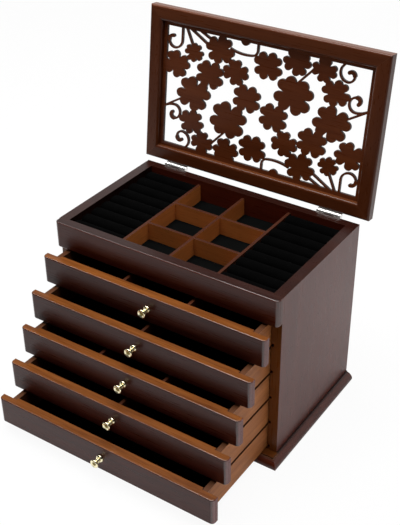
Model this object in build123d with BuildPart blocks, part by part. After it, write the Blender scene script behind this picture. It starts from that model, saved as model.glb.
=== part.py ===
from build123d import *
import os
from math import cos, radians, sin, sqrt

os.makedirs("parts", exist_ok=True)

# Case: X runs to the right, Y to the back and Z up from the table, in millimetres
case_width = 300.0
case_depth = 185.0
case_height = 224.5
side_thickness = 12.5
back_thickness = 11.0

# Base board and its moulded edge
base_height = 10.0
base_overhang = 8.7
base_ledge = 1.3
base_quirk = 1.2
base_toe = 2.2
base_slope_radius = 9.0

# Face boards: the fascia and the drawer fronts lap over the front edges of the sides
lip_thickness = 9.0
tongue_thickness = 3.0
face_corner_radius = 5.0
face_arris_radius = 1.2
fascia_height = 33.5

# Jewellery tray under the lid
tray_floor_thickness = 5.0
tray_floor_housing = 3.0
tray_divider_thickness = 3.5
tray_divider_drop = 6.0
ring_bay_width = 71.75
ring_roll_count = 9
ring_roll_drop = 8.0
ring_roll_crown = 6.5
ring_channel_width = 1.2
ring_channel_depth = 11.0
ring_roll_end_draw = 0.8
ring_roll_end_run = 6.0

# Drawers, numbered from the top down, standing as far out as in the photograph
drawer_pulled_out = (25.8, 52.8, 74.7, 98.0, 123.0)
drawer_divider_counts = (2, 1, 2, 1, 0)
drawer_gap = 1.2
drawer_side_thickness = 6.5
drawer_side_drop = 1.5
drawer_side_rise = 1.0
drawer_back_thickness = 6.5
drawer_rear_room = 5.0
drawer_divider_thickness = 3.5
drawer_divider_drop = 2.5
drawer_bottom_thickness = 3.0
drawer_bottom_rise = 2.5
drawer_bottom_seat = 3.0
runner_reach = 2.9
runner_length = 20.0
groove_depth = 3.4

# Velvet pads on the floors of the tray and the drawers
pad_thickness = 1.8
pad_edge_draw = 0.6

# Turned knob, stacked from the drawer front outwards
knob_stud_radius = 1.8
knob_stud_length = 7.0
knob_flange_radius = 4.7
knob_flange_edge = 1.0
knob_flange_dome = 1.9
knob_neck_radius = 2.3
knob_neck_length = 1.0
knob_ring_radius = 3.1
knob_ring_width = 2.0
knob_head_radius = 5.3
knob_head_flare = 3.4
knob_flare_radius = 5.1
knob_rim_width = 1.3
knob_rim_inset = 1.0
knob_dish_depth = 1.1

# Lid frame
lid_open_angle = 96.8
lid_thickness = 16.0
lid_overhang_side = 8.0
lid_overhang_front = 9.0
lid_frame_width = 17.5
lid_outer_radius = 4.5
lid_inner_radius = 2.5
lid_opening_radius = 3.0

# Fret panel, held in a groove round the lid frame
panel_thickness = 3.2
panel_recess = 6.4
panel_seat = 4.0
fret_border = 5.0
stem_width = 2.6
leaf_squash = 0.88
smallest_opening = 4.0

# Hinges
hinge_spacing = 218.0
hinge_length = 31.0
hinge_leaf_height = 11.0
hinge_leaf_thickness = 1.2
hinge_barrel_radius = 3.3
hinge_pin_radius = 1.4
hinge_knuckle_share = 0.36
hinge_screw_spacing = 18.0
screw_head_radius = 2.2
screw_shank_radius = 1.1
screw_length = 8.0

# Clearances
running_clearance = 0.3
closing_clearance = 0.4
side_clearance = 1.0
pin_clearance = 0.05
soft_clearance = 0.3

# Places worked out from the sizes above
front_y = -case_depth / 2
rear_y = case_depth / 2
case_inner_x = case_width / 2 - side_thickness
case_inner_rear_y = rear_y - back_thickness
sides_front_y = front_y + lip_thickness
tray_front_y = sides_front_y + tongue_thickness
tray_depth = case_inner_rear_y - tray_front_y
tray_middle_y = (case_inner_rear_y + tray_front_y) / 2
fascia_bottom_z = case_height - fascia_height
tray_floor_z = fascia_bottom_z + tray_floor_thickness
drawer_pitch = (fascia_bottom_z - base_height) / len(drawer_pulled_out)
drawer_front_height = drawer_pitch - drawer_gap
drawer_outer_x = case_inner_x - side_clearance
drawer_inner_x = drawer_outer_x - drawer_side_thickness
drawer_lip = lip_thickness - closing_clearance
groove_height = drawer_bottom_thickness + 2 * running_clearance


def drawer_top_z(number):
    """Height of the top edge of a drawer's front."""
    return fascia_bottom_z - drawer_gap / 2 - (number - 1) * drawer_pitch


def save(piece, name):
    """Label a finished piece and write it as its own node."""
    piece.part.label = name
    export_step(piece.part, f"parts/{name}.step")


def board(low, high):
    """A square-edged board between two opposite corners."""
    size = [b - a for a, b in zip(low, high)]
    with BuildPart() as piece:
        with Locations(tuple(low)):
            Box(*size, align=(Align.MIN, Align.MIN, Align.MIN))
    return piece


def face_board(face_y, bottom_z, height, lip, tongue_half_width, stud_holes=()):
    """A board that laps over the case sides, with a thicker tongue between them."""
    with BuildPart() as piece:
        with BuildSketch(Plane.XY.offset(bottom_z)) as plan:
            with Locations((0, face_y)):
                Rectangle(case_width, lip, align=(Align.CENTER, Align.MIN))
            fillet(plan.vertices().group_by(Axis.Y)[0], face_corner_radius)
            with Locations((0, face_y)):
                tongue_width = 2 * tongue_half_width
                Rectangle(tongue_width, lip + tongue_thickness, align=(Align.CENTER, Align.MIN))
        extrude(amount=height)
        rims = piece.edges().group_by(Axis.Z)
        arris = [e for e in rims[0] + rims[-1] if e.center().Y < face_y + face_corner_radius / 2]
        fillet(arris, face_arris_radius)
        for hole in stud_holes:
            with Locations(hole):
                Hole(knob_stud_radius + pin_clearance, depth=knob_stud_length + pin_clearance)
    return piece


def velvet_pads(bays, floor_z):
    """A thin pad for each bay, given as its low and high corners in plan."""
    with BuildPart() as pads:
        for low_x, low_y, high_x, high_y in bays:
            width = high_x - low_x - 2 * soft_clearance
            depth = high_y - low_y - 2 * soft_clearance
            middle = ((low_x + high_x) / 2, (low_y + high_y) / 2)
            with BuildSketch(Plane.XY.offset(floor_z)):
                with Locations(middle):
                    Rectangle(width, depth)
            with BuildSketch(Plane.XY.offset(floor_z + pad_thickness)):
                with Locations(middle):
                    Rectangle(width - 2 * pad_edge_draw, depth - 2 * pad_edge_draw)
            loft(ruled=True)
    return pads


# Base board with a ledge, a quirk and a rounded slope on its front and ends
base_half_width = case_width / 2 + base_overhang
base_front_y = front_y - base_overhang
slope_width = base_overhang - base_ledge
with BuildPart() as base_board:
    with BuildSketch(Plane.XY):
        with Locations((0, base_front_y)):
            Rectangle(2 * base_half_width, rear_y - base_front_y, align=(Align.CENTER, Align.MIN))
    extrude(amount=base_height)
    with BuildLine(Plane.XY.offset(base_height)) as base_edge:
        Polyline(
            (-base_half_width, rear_y),
            (-base_half_width, base_front_y),
            (base_half_width, base_front_y),
            (base_half_width, rear_y),
        )
    with BuildSketch(Plane((-base_half_width, rear_y, base_height), x_dir=(1, 0, 0), z_dir=(0, -1, 0))):
        with BuildLine():
            quirk_foot = (slope_width, -base_quirk)
            toe = (0, base_toe - base_height)
            Polyline((0, 0), (slope_width, 0), quirk_foot)
            RadiusArc(quirk_foot, toe, -base_slope_radius)
            Line(toe, (0, 0))
        make_face()
    sweep(path=base_edge.line, transition=Transition.RIGHT, mode=Mode.SUBTRACT)
save(base_board, "base_board")

# Hinge line behind the rear edge, and the planes of the open lid
hinge_y = rear_y + hinge_barrel_radius + running_clearance
hinge_z = case_height + closing_clearance / 2
leaf_face = -(hinge_barrel_radius + running_clearance)


def swung(vector):
    """A direction or offset of the closed lid, turned about the hinge line to the open lid."""
    return Vector(vector).rotate(Axis.X, -lid_open_angle)


lid_width = case_width + 2 * lid_overhang_side
lid_depth = case_depth + lid_overhang_front
lid_edge = Vector(0, hinge_y, hinge_z) + swung((0, leaf_face, closing_clearance / 2))
lid_plane = Plane(lid_edge, x_dir=(1, 0, 0), z_dir=swung((0, 0, -1)))
panel_middle = lid_plane.from_local_coords((0, lid_depth / 2, -panel_recess))
panel_plane = Plane(panel_middle, x_dir=lid_plane.x_dir, z_dir=lid_plane.z_dir)
panel_width = lid_width - 2 * (lid_frame_width - panel_seat)
panel_height = lid_depth - 2 * (lid_frame_width - panel_seat)

# Hinge screws: two in each leaf, along the hinge, halfway down the flat of the leaf
leaf_gap = sqrt(hinge_barrel_radius**2 - (leaf_face + hinge_leaf_thickness) ** 2) + running_clearance
screw_middle = (leaf_gap + hinge_leaf_height) / 2
hinge_centres = (-hinge_spacing / 2, hinge_spacing / 2)
screw_places = [centre + side * hinge_screw_spacing / 2 for centre in hinge_centres for side in (-1, 1)]
leaf_outer_face = leaf_face + hinge_leaf_thickness
case_screw_planes = [
    Plane((x, hinge_y + leaf_outer_face, hinge_z - screw_middle), x_dir=(1, 0, 0), z_dir=(0, 1, 0))
    for x in screw_places
]
lid_screw_planes = [
    Plane(
        Vector(x, hinge_y, hinge_z) + swung((0, leaf_outer_face, screw_middle)),
        x_dir=(1, 0, 0),
        z_dir=swung((0, 1, 0)),
    )
    for x in screw_places
]
pilot_radius = screw_shank_radius + pin_clearance
pilot_depth = screw_length + pin_clearance

# Side panels, grooved for the drawer runners and housed for the tray floor
for side, name in ((-1, "side_panel_left"), (1, "side_panel_right")):
    with BuildPart() as side_panel:
        with BuildSketch(Plane.XY.offset(base_height)):
            with Locations((side * (case_inner_x + side_thickness / 2), sides_front_y)):
                Rectangle(side_thickness, rear_y - sides_front_y, align=(Align.CENTER, Align.MIN))
        extrude(amount=case_height - base_height)
        for number in range(1, len(drawer_pulled_out) + 1):
            drawer_bottom_z = drawer_top_z(number) - drawer_front_height + drawer_bottom_rise
            with BuildSketch(Plane.XY.offset(drawer_bottom_z - running_clearance)):
                with Locations((side * case_inner_x, sides_front_y)):
                    groove_length = case_inner_rear_y - sides_front_y
                    Rectangle(2 * groove_depth, groove_length, align=(Align.CENTER, Align.MIN))
            extrude(amount=groove_height, mode=Mode.SUBTRACT)
        with BuildSketch(Plane.XY.offset(fascia_bottom_z)):
            with Locations((side * case_inner_x, tray_front_y)):
                Rectangle(2 * tray_floor_housing, tray_depth, align=(Align.CENTER, Align.MIN))
        extrude(amount=tray_floor_thickness, mode=Mode.SUBTRACT)
        with Locations(*case_screw_planes):
            Hole(pilot_radius, depth=pilot_depth)
    save(side_panel, name)

# Fascia rail across the top of the front
save(face_board(front_y, fascia_bottom_z, fascia_height, lip_thickness, case_inner_x), "fascia_rail")

# Tray floor, let into the sides
tray_floor_half_width = case_inner_x + tray_floor_housing
tray_floor = board(
    (-tray_floor_half_width, tray_front_y, fascia_bottom_z),
    (tray_floor_half_width, case_inner_rear_y, tray_floor_z),
)
save(tray_floor, "tray_floor")

# Tray dividers: three run front to back, and two cross them, halved over the middle one
ring_divider_x = case_inner_x - ring_bay_width - tray_divider_thickness / 2
divider_top_z = case_height - tray_divider_drop
halving_z = (tray_floor_z + divider_top_z) / 2
cross_bay_depth = (tray_depth - 2 * tray_divider_thickness) / 3
cross_offset_y = (cross_bay_depth + tray_divider_thickness) / 2
half_divider = tray_divider_thickness / 2
for place_x, name in (
    (-ring_divider_x, "tray_divider_left"),
    (0, "tray_divider_centre"),
    (ring_divider_x, "tray_divider_right"),
):
    with BuildPart() as divider:
        with BuildSketch(Plane.XY.offset(tray_floor_z)):
            with Locations((place_x, tray_middle_y)):
                Rectangle(tray_divider_thickness, tray_depth)
        extrude(amount=divider_top_z - tray_floor_z)
        if place_x == 0:
            with BuildSketch(Plane.XY.offset(halving_z)):
                with Locations((0, tray_middle_y - cross_offset_y), (0, tray_middle_y + cross_offset_y)):
                    Rectangle(tray_divider_thickness, tray_divider_thickness)
            extrude(amount=divider_top_z - halving_z, mode=Mode.SUBTRACT)
    save(divider, name)

cross_half_length = ring_divider_x - half_divider
for turn, name in ((-1, "tray_cross_front"), (1, "tray_cross_rear")):
    with BuildPart() as cross:
        cross_y = tray_middle_y + turn * cross_offset_y
        with BuildSketch(Plane.XY.offset(tray_floor_z)):
            with Locations((0, cross_y)):
                Rectangle(2 * cross_half_length, tray_divider_thickness)
        extrude(amount=divider_top_z - tray_floor_z)
        with BuildSketch(Plane.XY.offset(tray_floor_z)):
            with Locations((0, cross_y)):
                Rectangle(tray_divider_thickness, tray_divider_thickness)
        extrude(amount=halving_z - tray_floor_z, mode=Mode.SUBTRACT)
    save(cross, name)

# Velvet pads in the six small bays of the tray
tray_bays = []
for low_x, high_x in ((-cross_half_length, -half_divider), (half_divider, cross_half_length)):
    for row in range(3):
        low_y = tray_front_y + row * (cross_bay_depth + tray_divider_thickness)
        tray_bays.append((low_x, low_y, high_x, low_y + cross_bay_depth))
save(velvet_pads(tray_bays, tray_floor_z), "tray_pads")

# Ring cushions: a row of bolsters with deep channels between them, drawn in at their ends
roll_top_z = case_height - ring_roll_drop
channel_floor_z = roll_top_z - ring_channel_depth
roll_pitch = (tray_depth - 2 * soft_clearance) / ring_roll_count
roll_half_length = ring_bay_width / 2 - soft_clearance
roll_full_reach = roll_half_length - ring_roll_end_run
roll_sections = (
    (-roll_half_length, ring_roll_end_draw),
    (-roll_full_reach, 0),
    (roll_full_reach, 0),
    (roll_half_length, ring_roll_end_draw),
)
for side, name in ((-1, "ring_rolls_left"), (1, "ring_rolls_right")):
    bay_middle_x = side * (case_inner_x - ring_bay_width / 2)
    first_y = tray_front_y + soft_clearance
    with BuildPart() as ring_rolls:
        with BuildSketch(Plane.XY.offset(tray_floor_z)):
            with Locations((bay_middle_x, tray_middle_y)):
                Rectangle(2 * roll_half_length, ring_roll_count * roll_pitch)
        extrude(amount=channel_floor_z - tray_floor_z)
        for roll in range(ring_roll_count):
            middle_y = first_y + (roll + 0.5) * roll_pitch
            for along, draw in roll_sections:
                place = (bay_middle_x + along, middle_y, 0)
                end = Plane(place, x_dir=(0, 1, 0), z_dir=(1, 0, 0))
                half_width = (roll_pitch - ring_channel_width) / 2 - draw
                shoulder_z = roll_top_z - ring_roll_crown
                with BuildSketch(end):
                    with BuildLine():
                        Polyline(
                            (-half_width, shoulder_z),
                            (-half_width, channel_floor_z),
                            (half_width, channel_floor_z),
                            (half_width, shoulder_z),
                        )
                        crown = (0, roll_top_z - draw)
                        ThreePointArc((half_width, shoulder_z), crown, (-half_width, shoulder_z))
                    make_face()
            loft(ruled=True)
    save(ring_rolls, name)

# Turned knob
def knob(face_y, middle_z):
    """A turned knob whose flange sits on the face, with a stud behind it."""
    dome = knob_flange_edge + knob_flange_dome
    ring = dome + knob_neck_length
    neck = ring + knob_ring_width
    flare = neck + knob_neck_length
    rim = flare + knob_head_flare
    end = rim + knob_rim_width
    section = Plane((0, face_y, middle_z), x_dir=(1, 0, 0), z_dir=(0, 0, -1))
    with BuildPart() as piece:
        with BuildSketch(section):
            with BuildLine():
                Polyline(
                    (0, end - knob_dish_depth),
                    (0, -knob_stud_length),
                    (knob_stud_radius, -knob_stud_length),
                    (knob_stud_radius, 0),
                    (knob_flange_radius, 0),
                    (knob_flange_radius, knob_flange_edge),
                )
                dome_radius = knob_flange_radius - knob_neck_radius
                RadiusArc((knob_flange_radius, knob_flange_edge), (knob_neck_radius, dome), -dome_radius)
                Line((knob_neck_radius, dome), (knob_neck_radius, ring))
                middle = (knob_ring_radius, ring + knob_ring_width / 2)
                ThreePointArc((knob_neck_radius, ring), middle, (knob_neck_radius, neck))
                Line((knob_neck_radius, neck), (knob_neck_radius, flare))
                RadiusArc((knob_neck_radius, flare), (knob_head_radius, rim), knob_flare_radius)
                dish_edge = (knob_head_radius - knob_rim_inset, end)
                RadiusArc((knob_head_radius, rim), dish_edge, -knob_rim_width)
                TangentArc((0, end - knob_dish_depth), dish_edge, tangent=(1, 0))
            make_face()
        revolve(axis=Axis(section.origin, section.y_dir))
    return piece


# Drawers
def drawer_dividers(low_y, high_y, low_z, high_z, count):
    """Upright boards that share a drawer into equal bays, and the bays between them."""
    bay_width = (2 * drawer_inner_x - count * drawer_divider_thickness) / (count + 1)
    bays = []
    with BuildPart() as dividers:
        for index in range(count + 1):
            low_x = -drawer_inner_x + index * (bay_width + drawer_divider_thickness)
            bays.append((low_x, low_y, low_x + bay_width, high_y))
            if index < count:
                with Locations((low_x + bay_width, low_y, low_z)):
                    Box(
                        drawer_divider_thickness,
                        high_y - low_y,
                        high_z - low_z,
                        align=(Align.MIN, Align.MIN, Align.MIN),
                    )
    return dividers, bays


for number, pulled_out in enumerate(drawer_pulled_out, start=1):
    top_z = drawer_top_z(number)
    low_z = top_z - drawer_front_height
    face_y = front_y - pulled_out
    box_front_y = face_y + drawer_lip
    tongue_rear_y = box_front_y + tongue_thickness
    box_rear_y = case_inner_rear_y - drawer_rear_room - pulled_out
    back_front_y = box_rear_y - drawer_back_thickness
    bottom_z = low_z + drawer_bottom_rise
    floor_z = bottom_z + drawer_bottom_thickness
    side_top_z = top_z - drawer_side_drop
    knob_z = low_z + drawer_front_height / 2

    stud_hole = Plane((0, face_y, knob_z), x_dir=(1, 0, 0), z_dir=(0, -1, 0))
    drawer_front = face_board(face_y, low_z, drawer_front_height, drawer_lip, drawer_inner_x, (stud_hole,))
    save(drawer_front, f"drawer_{number}_front")

    # The bottom is seated in the sides and reaches past them at the back to run in the case's grooves
    with BuildPart() as drawer_bottom:
        with BuildSketch(Plane.XY.offset(bottom_z)):
            with Locations((0, box_rear_y)):
                seat_width = 2 * (drawer_inner_x + drawer_bottom_seat)
                Rectangle(seat_width, box_rear_y - tongue_rear_y, align=(Align.CENTER, Align.MAX))
                runner_width = 2 * (case_inner_x + runner_reach)
                Rectangle(runner_width, runner_length, align=(Align.CENTER, Align.MAX))
        extrude(amount=drawer_bottom_thickness)
    save(drawer_bottom, f"drawer_{number}_bottom")

    side_middle_x = drawer_inner_x + drawer_side_thickness / 2
    side_length = box_rear_y - box_front_y
    side_low_z = low_z + drawer_side_rise
    with BuildPart() as drawer_sides:
        with BuildSketch(Plane.XY.offset(side_low_z)):
            with Locations((-side_middle_x, box_front_y), (side_middle_x, box_front_y)):
                Rectangle(drawer_side_thickness, side_length, align=(Align.CENTER, Align.MIN))
        extrude(amount=side_top_z - side_low_z)
        add(drawer_bottom.part, mode=Mode.SUBTRACT)
    save(drawer_sides, f"drawer_{number}_sides")

    drawer_back = board((-drawer_inner_x, back_front_y, floor_z), (drawer_inner_x, box_rear_y, side_top_z))
    save(drawer_back, f"drawer_{number}_back")

    divider_top = side_top_z - drawer_divider_drop
    count = drawer_divider_counts[number - 1]
    dividers, bays = drawer_dividers(tongue_rear_y, back_front_y, floor_z, divider_top, count)
    if count > 0:
        save(dividers, f"drawer_{number}_dividers")
    save(velvet_pads(bays, floor_z), f"drawer_{number}_pads")
    save(knob(face_y, knob_z), f"drawer_{number}_knob")

# Back panel between the sides
with BuildPart() as back_panel:
    with BuildSketch(Plane.XY.offset(base_height)):
        with Locations((0, rear_y)):
            Rectangle(2 * case_inner_x, back_thickness, align=(Align.CENTER, Align.MAX))
    extrude(amount=case_height - base_height)
    with Locations(*case_screw_planes):
        Hole(pilot_radius, depth=pilot_depth)
save(back_panel, "back_panel")


# Lid frame: four lengths of one grooved and rounded stock, mitred at the corners
def lid_member(middle, inward, length, screw_holes=()):
    """One member, from the middle of its outer edge, the way to the opening and its length."""
    across = lid_plane.x_dir * inward[0] + lid_plane.y_dir * inward[1]
    along = across.cross(lid_plane.z_dir)
    section = Plane(lid_plane.from_local_coords((*middle, 0)), x_dir=across, z_dir=along)
    with BuildPart() as member:
        with BuildSketch(section) as stock:
            Rectangle(lid_frame_width, lid_thickness, align=(Align.MIN, Align.MAX))
            fillet(stock.vertices().group_by(Axis.X)[0].sort_by(Axis.Y)[0], lid_outer_radius)
            fillet(stock.vertices().group_by(Axis.X)[0].sort_by(Axis.Y)[-1], lid_inner_radius)
            fillet(stock.vertices().group_by(Axis.X)[-1].sort_by(Axis.Y)[-1], lid_opening_radius)
            with Locations((lid_frame_width, -panel_recess)):
                groove_align = (Align.CENTER, Align.MAX)
                Rectangle(2 * panel_seat, panel_thickness, align=groove_align, mode=Mode.SUBTRACT)
        extrude(amount=length / 2, both=True)
        for end in (-1, 1):
            corner = section.origin + along * (end * length / 2)
            split(bisect_by=Plane(corner, z_dir=across + along * end), keep=Keep.BOTTOM)
        for hole in screw_holes:
            with Locations(hole):
                Hole(pilot_radius, depth=pilot_depth)
    return member


save(lid_member((0, 0), (0, 1), lid_width, lid_screw_planes), "lid_rail_rear")
save(lid_member((0, lid_depth), (0, -1), lid_width), "lid_rail_front")
save(lid_member((-lid_width / 2, lid_depth / 2), (1, 0), lid_depth), "lid_stile_left")
save(lid_member((lid_width / 2, lid_depth / 2), (-1, 0), lid_depth), "lid_stile_right")

# Fret layout, as seen from the inside of the open lid, from the middle of the panel.
# The layout is drawn for one size of window, and its half turn fills the other half.
layout_window = (271.0, 149.0)
window_width = lid_width - 2 * (lid_frame_width + fret_border)
window_height = lid_depth - 2 * (lid_frame_width + fret_border)
spread_x = window_width / layout_window[0]
spread_y = window_height / layout_window[1]
leaf_scale = max(spread_x, spread_y)

# Clovers: place across, place up, reach of the leaves and turn of the first leaf
clovers = (
    (-121.0, 29.0, 19.0, 21.0),
    (-96.3, 47.8, 13.2, 70.0),
    (-60.0, 58.4, 19.8, 63.0),
    (-72.2, 25.2, 20.3, 43.0),
    (-36.5, 35.6, 17.6, 7.5),
    (6.0, 52.3, 19.6, 51.0),
    (-94.2, -3.2, 24.3, 25.0),
    (-18.8, 7.3, 19.8, 43.0),
    (42.5, 24.8, 26.0, 33.0),
    (43.0, 64.4, 18.0, 17.0),
    (78.0, 62.6, 16.0, 0.0),
    (95.2, 39.5, 18.0, 62.0),
)
# Straight stems: from and to
stems = (
    ((-110.0, 79.0), (-98.0, 55.0)),
    ((-104.0, 76.6), (-78.0, 61.7)),
    ((-92.5, 77.5), (-71.5, 67.5)),
    ((45.0, 39.5), (65.5, 61.5)),
    ((106.0, 9.0), (138.0, 28.0)),
)
# Scrolls: start, heading, straight run, arcs of radius and turn, and radius, turn and width of the bud
scrolls = (
    ((-114.1, 79.0), -90.0, 19.8, ((10.5, -90.0), (8.7, -90.0)), (5.5, -100.0, 4.2)),
    ((-8.8, 79.0), -90.0, 11.5, ((7.5, -80.0), (60.0, -30.0)), None),
    ((105.2, 79.0), -128.0, 9.0, ((10.4, 128.0), (7.5, 100.0)), (4.0, 120.0, 4.6)),
    ((139.5, 29.0), 207.0, 7.5, ((25.0, -27.0), (8.8, -180.0)), (4.2, -140.0, 4.6)),
)
# Round bosses on the border: place and radius
bosses = (((-26.0, 76.0), 6.0),)


def layout_point(place):
    """A place of the layout, spread to the window of this lid."""
    return (place[0] * spread_x, place[1] * spread_y)


def leaf_point(point, turn):
    """A point of a leaf, turned about the middle of its clover and drawn in from above and below."""
    turned = point.rotate(Axis.Z, turn)
    return Vector(turned.X, turned.Y * leaf_squash)


def clover_leaves(reach, first_turn):
    """Outline of four notched leaves that reach the given distance from the middle."""
    lobe_radius = 0.27 * reach
    lobe_along = 0.70 * reach
    lobe_across = 0.235 * reach
    gap_reach = 0.52 * reach
    shoulder_turn = 110.0
    lobe_turn = 25.0
    notch = lobe_along + sqrt(lobe_radius**2 - lobe_across**2)
    with BuildSketch() as outline:
        with BuildLine():
            for leaf in range(4):
                turn = first_turn + 90.0 * leaf
                low_gap = leaf_point(Vector(gap_reach, 0), turn - 45)
                high_gap = leaf_point(Vector(gap_reach, 0), turn + 45)
                tip = leaf_point(Vector(notch, 0), turn)
                ends = []
                for hand in (-1, 1):
                    middle = Vector(lobe_along, hand * lobe_across)
                    shoulder = middle + Vector(lobe_radius, 0).rotate(Axis.Z, hand * shoulder_turn)
                    crown = middle + Vector(lobe_radius, 0).rotate(Axis.Z, hand * lobe_turn)
                    ends.append(leaf_point(shoulder, turn))
                    ThreePointArc(ends[-1], leaf_point(crown, turn), tip)
                Line(low_gap, ends[0])
                Line(ends[1], high_gap)
        make_face()
    return outline.sketch


def scroll_strip(start, heading, run, arcs, bud):
    """A strip that leaves the border, curls through tangent arcs and may end in a thicker bud."""
    way = Vector(cos(radians(heading)), sin(radians(heading)))
    with BuildLine() as path:
        origin = Vector(*layout_point(start))
        last = Line(origin, origin + way * run * leaf_scale)
        for radius, turn in arcs:
            last = JernArc(last @ 1, last % 1, radius * leaf_scale, turn)
    with BuildSketch() as strip:
        trace(path.line, line_width=stem_width)
    if bud is not None:
        radius, turn, width = bud
        with BuildLine():
            curl = JernArc(last @ 1, last % 1, radius * leaf_scale, turn)
        with strip:
            SlotArc(curl, width * leaf_scale)
    return strip.sketch


with BuildSketch() as half_fret:
    for across, up, reach, turn in clovers:
        with Locations(layout_point((across, up))):
            add(clover_leaves(reach * leaf_scale, turn))
    for start, end in stems:
        with BuildLine():
            Line(layout_point(start), layout_point(end))
        trace(line_width=stem_width)
    for place, radius in bosses:
        with Locations(layout_point(place)):
            Circle(radius * leaf_scale)
    for scroll in scrolls:
        add(scroll_strip(*scroll))

with BuildSketch() as fret:
    Rectangle(panel_width, panel_height)
    Rectangle(window_width, window_height, mode=Mode.SUBTRACT)
    with PolarLocations(0, 2):
        add(half_fret.sketch)
    Rectangle(panel_width, panel_height, mode=Mode.INTERSECT)

# Openings too small for a saw blade are left solid
sawn_face = fret.face()
sawn_openings = [wire for wire in sawn_face.inner_wires() if Face(wire).area > smallest_opening]
with BuildPart() as fret_panel:
    with BuildSketch(panel_plane):
        add(Face(sawn_face.outer_wire(), sawn_openings))
    extrude(amount=-panel_thickness)
save(fret_panel, "fret_panel")

# Hinges: the case leaf has the two end knuckles and the lid leaf the middle one
knuckle_reach = hinge_length * hinge_knuckle_share / 2
end_knuckles = (
    (-hinge_length / 2, -knuckle_reach - running_clearance),
    (knuckle_reach + running_clearance, hinge_length / 2),
)
middle_knuckle = ((-knuckle_reach, knuckle_reach),)


def hinge_leaves(outward, away, knuckles, screw_planes):
    """The leaves of both hinges, flat on the wood, curled round the pin at the given knuckles."""
    along = Vector(outward).cross(Vector(away))
    with BuildPart() as leaves:
        for centre in hinge_centres:
            section = Plane((centre, hinge_y, hinge_z), x_dir=outward, z_dir=along)
            flat_height = hinge_leaf_height - leaf_gap
            with BuildSketch(section):
                with Locations((leaf_face, leaf_gap)):
                    Rectangle(hinge_leaf_thickness, flat_height, align=(Align.MIN, Align.MIN))
            extrude(amount=hinge_length / 2, both=True)
            for low, high in knuckles:
                with BuildSketch(section.offset(low)):
                    with Locations((leaf_face, 0)):
                        Rectangle(hinge_leaf_thickness, leaf_gap, align=(Align.MIN, Align.MIN))
                    Circle(hinge_barrel_radius)
                extrude(amount=high - low)
            with BuildSketch(section):
                Circle(hinge_pin_radius + pin_clearance)
            extrude(amount=hinge_length / 2, both=True, mode=Mode.SUBTRACT)
        with Locations(*screw_planes):
            sink_radius = screw_head_radius + pin_clearance
            CounterSinkHole(pilot_radius, sink_radius, depth=pilot_depth, counter_sink_angle=90)
    return leaves


save(hinge_leaves((0, 1, 0), (0, 0, -1), end_knuckles, case_screw_planes), "hinge_leaves_case")
save(hinge_leaves(swung((0, 1, 0)), swung((0, 0, 1)), middle_knuckle, lid_screw_planes), "hinge_leaves_lid")

with BuildPart() as hinge_pins:
    for centre in hinge_centres:
        with BuildSketch(Plane((centre, hinge_y, hinge_z), x_dir=(0, 1, 0), z_dir=(1, 0, 0))):
            Circle(hinge_pin_radius)
        extrude(amount=hinge_length / 2, both=True)
save(hinge_pins, "hinge_pins")

# Countersunk wood screws
for screw_planes, name in (
    (case_screw_planes, "hinge_screws_case"),
    (lid_screw_planes, "hinge_screws_lid"),
):
    with BuildPart() as screws:
        with Locations(*screw_planes):
            Cylinder(screw_shank_radius, screw_length, align=(Align.CENTER, Align.CENTER, Align.MAX))
            Cone(
                screw_shank_radius,
                screw_head_radius,
                screw_head_radius - screw_shank_radius,
                align=(Align.CENTER, Align.CENTER, Align.MAX),
            )
    save(screws, name)
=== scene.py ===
import math

import bmesh
import bpy
from mathutils import Matrix, Vector, noise


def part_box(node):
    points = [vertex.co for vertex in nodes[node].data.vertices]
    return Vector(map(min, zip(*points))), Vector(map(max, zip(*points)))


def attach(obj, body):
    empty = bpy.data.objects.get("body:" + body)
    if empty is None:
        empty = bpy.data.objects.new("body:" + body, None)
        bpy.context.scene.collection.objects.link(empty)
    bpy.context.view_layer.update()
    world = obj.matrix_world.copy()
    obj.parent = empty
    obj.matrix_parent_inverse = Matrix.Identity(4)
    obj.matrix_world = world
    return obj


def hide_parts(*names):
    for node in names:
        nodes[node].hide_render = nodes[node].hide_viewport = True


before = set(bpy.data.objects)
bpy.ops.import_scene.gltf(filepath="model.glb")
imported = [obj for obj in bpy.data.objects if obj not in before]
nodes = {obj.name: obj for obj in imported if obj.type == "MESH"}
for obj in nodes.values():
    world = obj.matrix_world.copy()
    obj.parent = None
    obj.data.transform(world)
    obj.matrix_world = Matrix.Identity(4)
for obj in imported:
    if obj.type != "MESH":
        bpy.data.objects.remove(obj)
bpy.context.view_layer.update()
scene = bpy.context.scene

# Camera, fitted to the outline and edges of the chest in the photograph: metres, degrees, millimetres
CAMERA_PLACE = (0.546398, -0.821839, 0.809508)
CAMERA_TURN = 34.060
CAMERA_HEIGHT_ANGLE = 32.945
CAMERA_ROLL = -0.586
CAMERA_LENS = 68.135
SENSOR_WIDTH = 36.0
CLIP_NEAR = 0.05
CLIP_FAR = 20.0

# Stains and finishes: the deep and the pale colour of each, linear red, green and blue
# The fronts' copy of the espresso stain is darker than the case's copy: painted shade for the fronts' dim
# lower halves.
ESPRESSO = ((0.034, 0.0044, 0.0017), (0.066, 0.0100, 0.0044))
# Painted sheen: a paler tone on the right ends of the drawer fronts, in place of their reflection.
ESPRESSO_END_PAINTED_SHEEN = ((0.115, 0.0260, 0.0210), (0.175, 0.0450, 0.0400))
# Painted shade: a darker tone on the up-facing tops of the case.
ESPRESSO_TOPS_PAINTED_SHADE = ((0.014, 0.0024, 0.0010), (0.028, 0.0054, 0.0023))
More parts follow.
